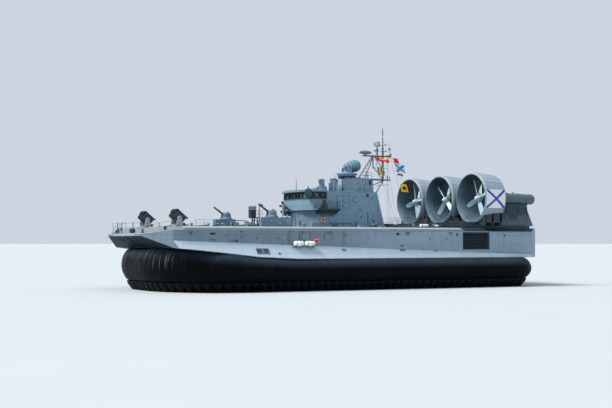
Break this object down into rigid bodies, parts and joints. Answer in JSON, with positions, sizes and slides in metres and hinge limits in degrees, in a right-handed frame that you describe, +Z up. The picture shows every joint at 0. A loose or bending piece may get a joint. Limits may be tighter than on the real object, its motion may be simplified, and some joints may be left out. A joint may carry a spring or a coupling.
{
  "type": "air-cushion landing craft, 1:2 scale model",
  "caption": "Scale model of a large air-cushion landing craft with a skirted hull, gun turrets, bridge, mast and ducted fans at the stern.",
  "frame": {"origin": "on the ground under the middle of the bounding box", "axes": "+X towards the bow, +Y to port, +Z up"},
  "size_m": [28.65, 12.8, 10.875],
  "materials": {
    "side_grey": "matt blue-grey paint",
    "pale_grey": "matt pale grey paint",
    "house_grey": "matt blue-grey paint",
    "dark_grey": "matt dark grey paint",
    "black_rubber": "rubberised cloth",
    "duct_grey": "matt grey paint",
    "blade_grey": "satin light grey",
    "window": "tinted glass",
    "raft_white": "white gel coat"
  },
  "bodies": {
    "craft": {"hull_port": "side_grey", "hull_starboard": "side_grey", "deck_centre": "pale_grey", "skirt_bag": "black_rubber", "skirt_fingers": "black_rubber", "centre_pontoon": "dark_grey", "bay_floor": "dark_grey", "stability_skirts": "black_rubber", "house": "house_grey", "bridge_walls": "house_grey", "bridge_glazing": "window", "bridge_roof": "house_grey", "bridge_console": "dark_grey", "tower": "house_grey", "radar_platform": "house_grey", "vents": "house_grey", "director_base": "house_grey", "mast": "house_grey", "gun_house_port": "house_grey", "gun_house_starboard": "house_grey", "sight_stand": "dark_grey", "launcher_ring_port": "dark_grey", "launcher_ring_starboard": "dark_grey", "aft_casing": "house_grey", "fan_platform": "dark_grey", "duct_port": "duct_grey", "pylon_port": "side_grey", "engine_pod_port": "house_grey", "duct_centre": "duct_grey", "pylon_centre": "side_grey", "engine_pod_centre": "house_grey", "duct_starboard": "duct_grey", "pylon_starboard": "side_grey", "engine_pod_starboard": "house_grey", "rafts_port": "raft_white", "rafts_starboard": "raft_white"},
    "propeller_port": {"propeller_port": "blade_grey"},
    "propeller_centre": {"propeller_centre": "blade_grey"},
    "propeller_starboard": {"propeller_starboard": "blade_grey"},
    "rudder_port_left": {"rudder_port_left": "duct_grey"},
    "rudder_port_right": {"rudder_port_right": "duct_grey"},
    "rudder_centre_left": {"rudder_centre_left": "duct_grey"},
    "rudder_centre_right": {"rudder_centre_right": "duct_grey"},
    "rudder_starboard_left": {"rudder_starboard_left": "duct_grey"},
    "rudder_starboard_right": {"rudder_starboard_right": "duct_grey"},
    "turret_port": {"turret_port": "house_grey"},
    "gun_port": {"gun_port": "dark_grey"},
    "launcher_yoke_port": {"launcher_yoke_port": "dark_grey"},
    "launcher_pack_port": {"launcher_pack_port": "dark_grey"},
    "turret_starboard": {"turret_starboard": "house_grey"},
    "gun_starboard": {"gun_starboard": "dark_grey"},
    "launcher_yoke_starboard": {"launcher_yoke_starboard": "dark_grey"},
    "launcher_pack_starboard": {"launcher_pack_starboard": "dark_grey"},
    "director_head": {"director_head": "house_grey"},
    "tracking_radar": {"tracking_radar": "pale_grey"},
    "navigation_radar": {"navigation_radar": "dark_grey"},
    "search_radar": {"search_radar": "dark_grey"},
    "bow_ramp": {"bow_ramp": "dark_grey"},
    "stern_ramp": {"stern_ramp": "side_grey"}
  },
  "joints": [
    {"name": "propeller_port_spin", "type": "hinge", "parent": "craft", "child": "propeller_port", "pos_m": [-9.7, 3.875, 6], "axis": [1, 0, 0], "continuous": true},
    {"name": "propeller_centre_spin", "type": "hinge", "parent": "craft", "child": "propeller_centre", "pos_m": [-9.7, 0, 6], "axis": [1, 0, 0], "continuous": true},
    {"name": "propeller_starboard_spin", "type": "hinge", "parent": "craft", "child": "propeller_starboard", "pos_m": [-9.7, -3.875, 6], "axis": [1, 0, 0], "continuous": true},
    {"name": "rudder_port_left_turn", "type": "hinge", "parent": "craft", "child": "rudder_port_left", "pos_m": [-10.68, 4.6, 6], "axis": [0, 0, 1], "range_deg": [-25, 25]},
    {"name": "rudder_port_right_turn", "type": "hinge", "parent": "craft", "child": "rudder_port_right", "pos_m": [-10.68, 3.15, 6], "axis": [0, 0, 1], "range_deg": [-25, 25]},
    {"name": "rudder_centre_left_turn", "type": "hinge", "parent": "craft", "child": "rudder_centre_left", "pos_m": [-10.68, 0.725, 6], "axis": [0, 0, 1], "range_deg": [-25, 25]},
    {"name": "rudder_centre_right_turn", "type": "hinge", "parent": "craft", "child": "rudder_centre_right", "pos_m": [-10.68, -0.725, 6], "axis": [0, 0, 1], "range_deg": [-25, 25]},
    {"name": "rudder_starboard_left_turn", "type": "hinge", "parent": "craft", "child": "rudder_starboard_left", "pos_m": [-10.68, -3.15, 6], "axis": [0, 0, 1], "range_deg": [-25, 25]},
    {"name": "rudder_starboard_right_turn", "type": "hinge", "parent": "craft", "child": "rudder_starboard_right", "pos_m": [-10.68, -4.6, 6], "axis": [0, 0, 1], "range_deg": [-25, 25]},
    {"name": "turret_port_train", "type": "hinge", "parent": "craft", "child": "turret_port", "pos_m": [5.915, 3.525, 4.56], "axis": [0, 0, 1], "range_deg": [-150, 150]},
    {"name": "gun_port_elevate", "type": "hinge", "parent": "turret_port", "child": "gun_port", "pos_m": [6.055, 3.525, 4.83], "axis": [0, -1, 0], "range_deg": [-47, 50]},
    {"name": "launcher_port_train", "type": "hinge", "parent": "craft", "child": "launcher_yoke_port", "pos_m": [11.95, 2.82, 4], "axis": [0, 0, 1], "range_deg": [-150, 150]},
    {"name": "launcher_port_elevate", "type": "hinge", "parent": "launcher_yoke_port", "child": "launcher_pack_port", "pos_m": [11.95, 2.82, 4.5], "axis": [0, -1, 0], "range_deg": [-45, 20]},
    {"name": "turret_starboard_train", "type": "hinge", "parent": "craft", "child": "turret_starboard", "pos_m": [5.915, -3.525, 4.56], "axis": [0, 0, 1], "range_deg": [-150, 150]},
    {"name": "gun_starboard_elevate", "type": "hinge", "parent": "turret_starboard", "child": "gun_starboard", "pos_m": [6.055, -3.525, 4.83], "axis": [0, -1, 0], "range_deg": [-47, 50]},
    {"name": "launcher_starboard_train", "type": "hinge", "parent": "craft", "child": "launcher_yoke_starboard", "pos_m": [11.95, -2.82, 4], "axis": [0, 0, 1], "range_deg": [-150, 150]},
    {"name": "launcher_starboard_elevate", "type": "hinge", "parent": "launcher_yoke_starboard", "child": "launcher_pack_starboard", "pos_m": [11.95, -2.82, 4.5], "axis": [0, -1, 0], "range_deg": [-45, 20]},
    {"name": "director_train", "type": "hinge", "parent": "craft", "child": "director_head", "pos_m": [0.425, 0, 6.765], "axis": [0, 0, 1], "range_deg": [-160, 160]},
    {"name": "tracking_radar_turn", "type": "hinge", "parent": "craft", "child": "tracking_radar", "pos_m": [-1.525, 0, 7.68], "axis": [0, 0, 1], "continuous": true},
    {"name": "navigation_radar_turn", "type": "hinge", "parent": "craft", "child": "navigation_radar", "pos_m": [-3, 0, 9.025], "axis": [0, 0, 1], "continuous": true},
    {"name": "search_radar_turn", "type": "hinge", "parent": "craft", "child": "search_radar", "pos_m": [-3.95, 0, 9.25], "axis": [0, 0, 1], "continuous": true},
    {"name": "bow_ramp_lower", "type": "hinge", "parent": "craft", "child": "bow_ramp", "pos_m": [13.115, 0, 2.72], "axis": [0, 1, 0], "range_deg": [0, 38]},
    {"name": "stern_ramp_lower", "type": "hinge", "parent": "craft", "child": "stern_ramp", "pos_m": [-14.25, 0, 2.05], "axis": [0, -1, 0], "range_deg": [0, 100]}
  ],
  "couplings": [
    {"joint": "rudder_port_right_turn", "follows": "rudder_port_left_turn", "ratio": 1},
    {"joint": "rudder_centre_left_turn", "follows": "rudder_port_left_turn", "ratio": 1},
    {"joint": "rudder_centre_right_turn", "follows": "rudder_port_left_turn", "ratio": 1},
    {"joint": "rudder_starboard_left_turn", "follows": "rudder_port_left_turn", "ratio": 1},
    {"joint": "rudder_starboard_right_turn", "follows": "rudder_port_left_turn", "ratio": 1}
  ]
}
